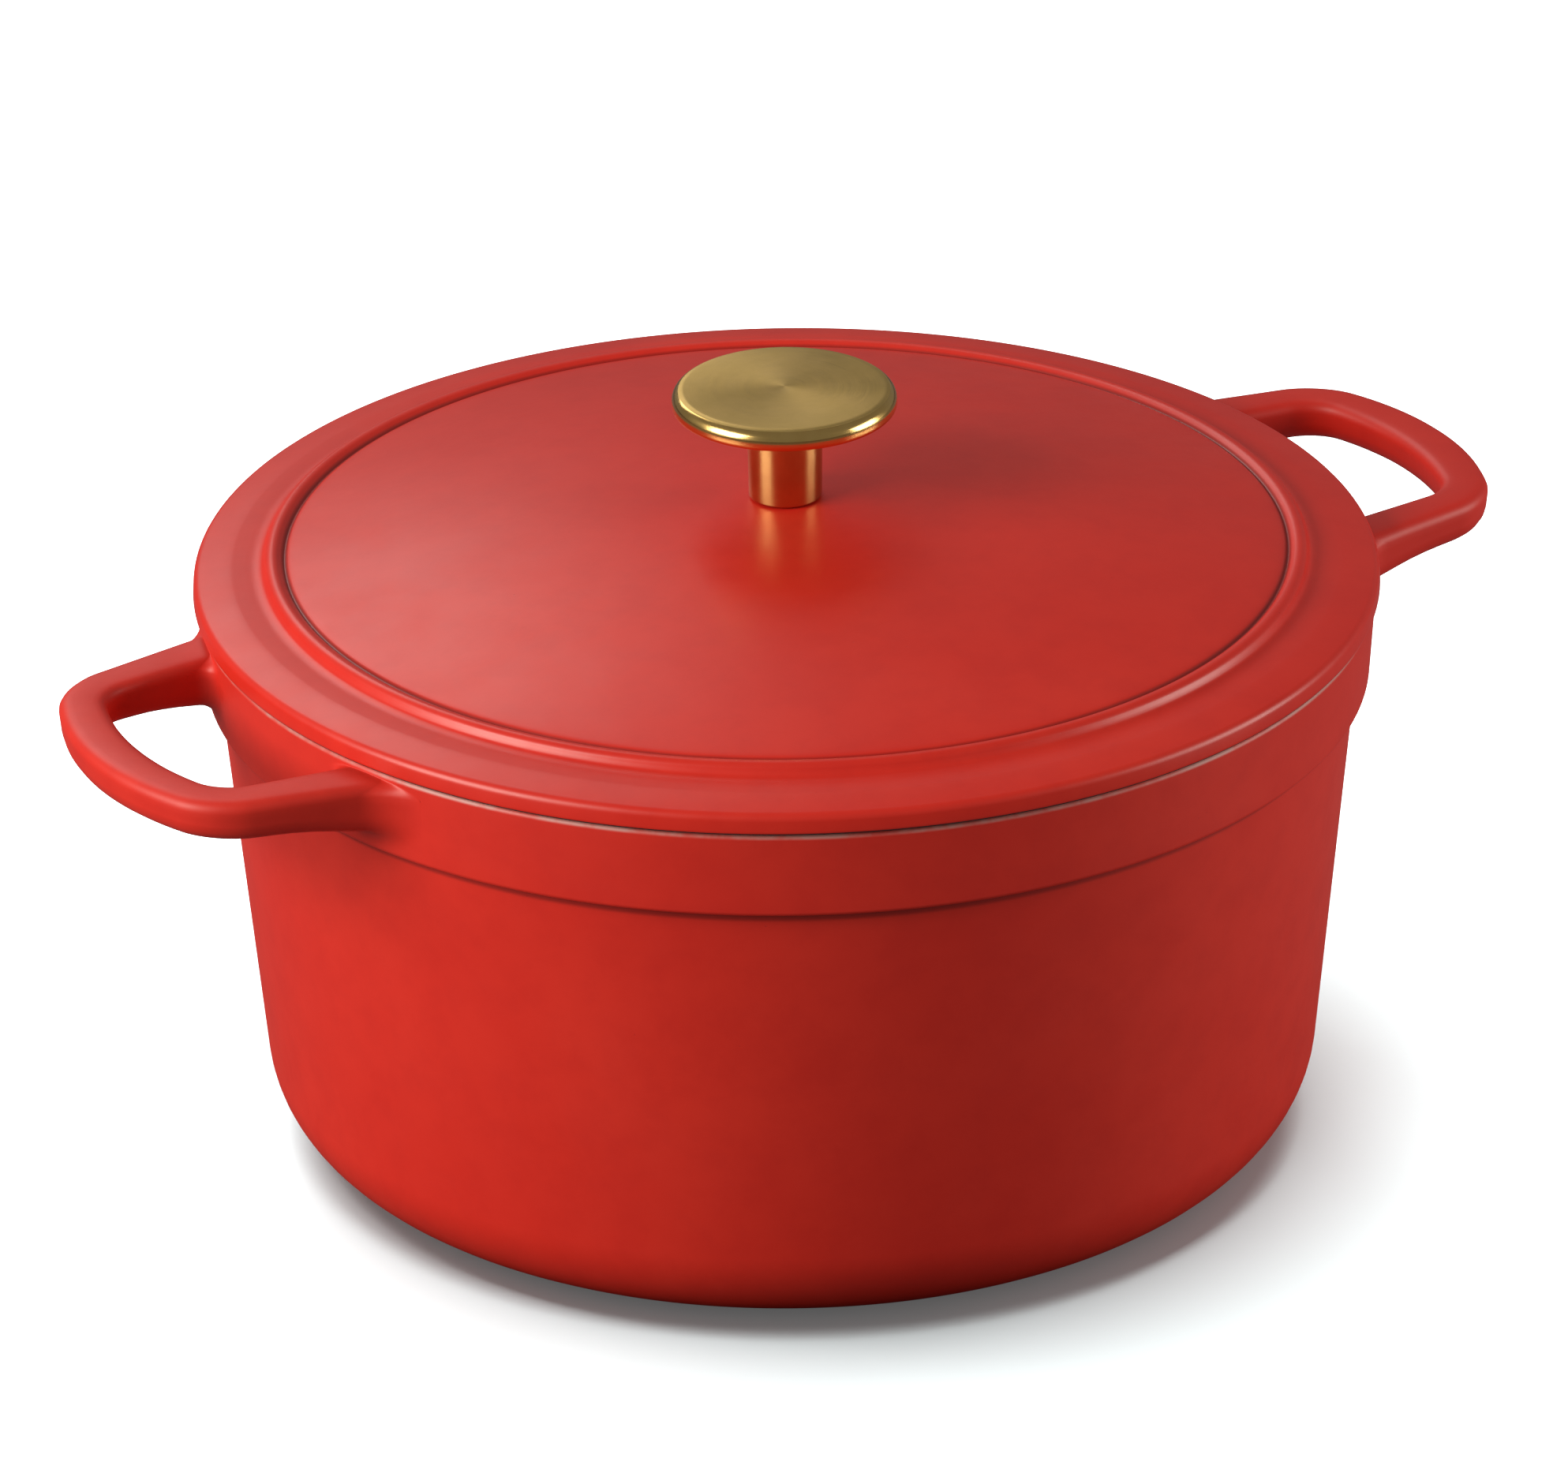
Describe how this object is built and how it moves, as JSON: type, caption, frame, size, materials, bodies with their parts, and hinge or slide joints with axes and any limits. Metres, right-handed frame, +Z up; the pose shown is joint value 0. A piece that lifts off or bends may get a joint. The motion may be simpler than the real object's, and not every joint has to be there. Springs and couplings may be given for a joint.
{
  "type": "dutch oven",
  "caption": "Round enamelled cast-iron pot with two loop handles and a domed lift-off lid carrying a metal knob.",
  "frame": {"origin": "centre of the base, on the surface that the pot stands on", "axes": "+X along the line of the two handles, +Z up along the axis of the pot and the lid"},
  "size_m": [0.3398, 0.26, 0.1741],
  "materials": {
    "enamelled_iron": "satin-gloss enamel",
    "gold_metal": "satin top, polished rim",
    "silicone": "matte",
    "steel": "machined"
  },
  "bodies": {
    "pot": {"pot_body": "enamelled_iron"},
    "lid": {"lid": "enamelled_iron", "knob_cap": "gold_metal", "knob_stem": "gold_metal", "knob_gasket": "silicone", "knob_screw": "steel", "flat_washer": "steel", "lock_washer": "steel"}
  },
  "joints": [
    {"name": "lid_lift", "type": "slide", "parent": "pot", "child": "lid", "axis": [0, 0, 1], "range_m": [0, 0.18]}
  ]
}
